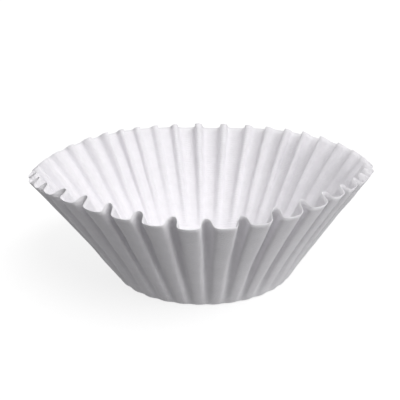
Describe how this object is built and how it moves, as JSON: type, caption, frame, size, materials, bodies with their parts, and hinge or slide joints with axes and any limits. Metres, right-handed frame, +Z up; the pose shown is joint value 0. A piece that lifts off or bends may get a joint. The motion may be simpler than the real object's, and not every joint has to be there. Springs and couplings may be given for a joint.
{
  "type": "paper coffee filter",
  "caption": "Open fluted bowl of thin white filter paper with a flat round base and a wavy scalloped rim, for a basket coffee maker.",
  "frame": {"origin": "centre of the flat base's underside, where the filter rests", "axes": "+Z up out of the open mouth, -Y towards the camera's side of the picture, +X to its right"},
  "size_m": [0.1518, 0.1506, 0.0527],
  "materials": {
    "filter_paper": "matt white creped filter paper"
  },
  "bodies": {
    "root": {"paper_filter": "filter_paper"}
  },
  "joints": []
}
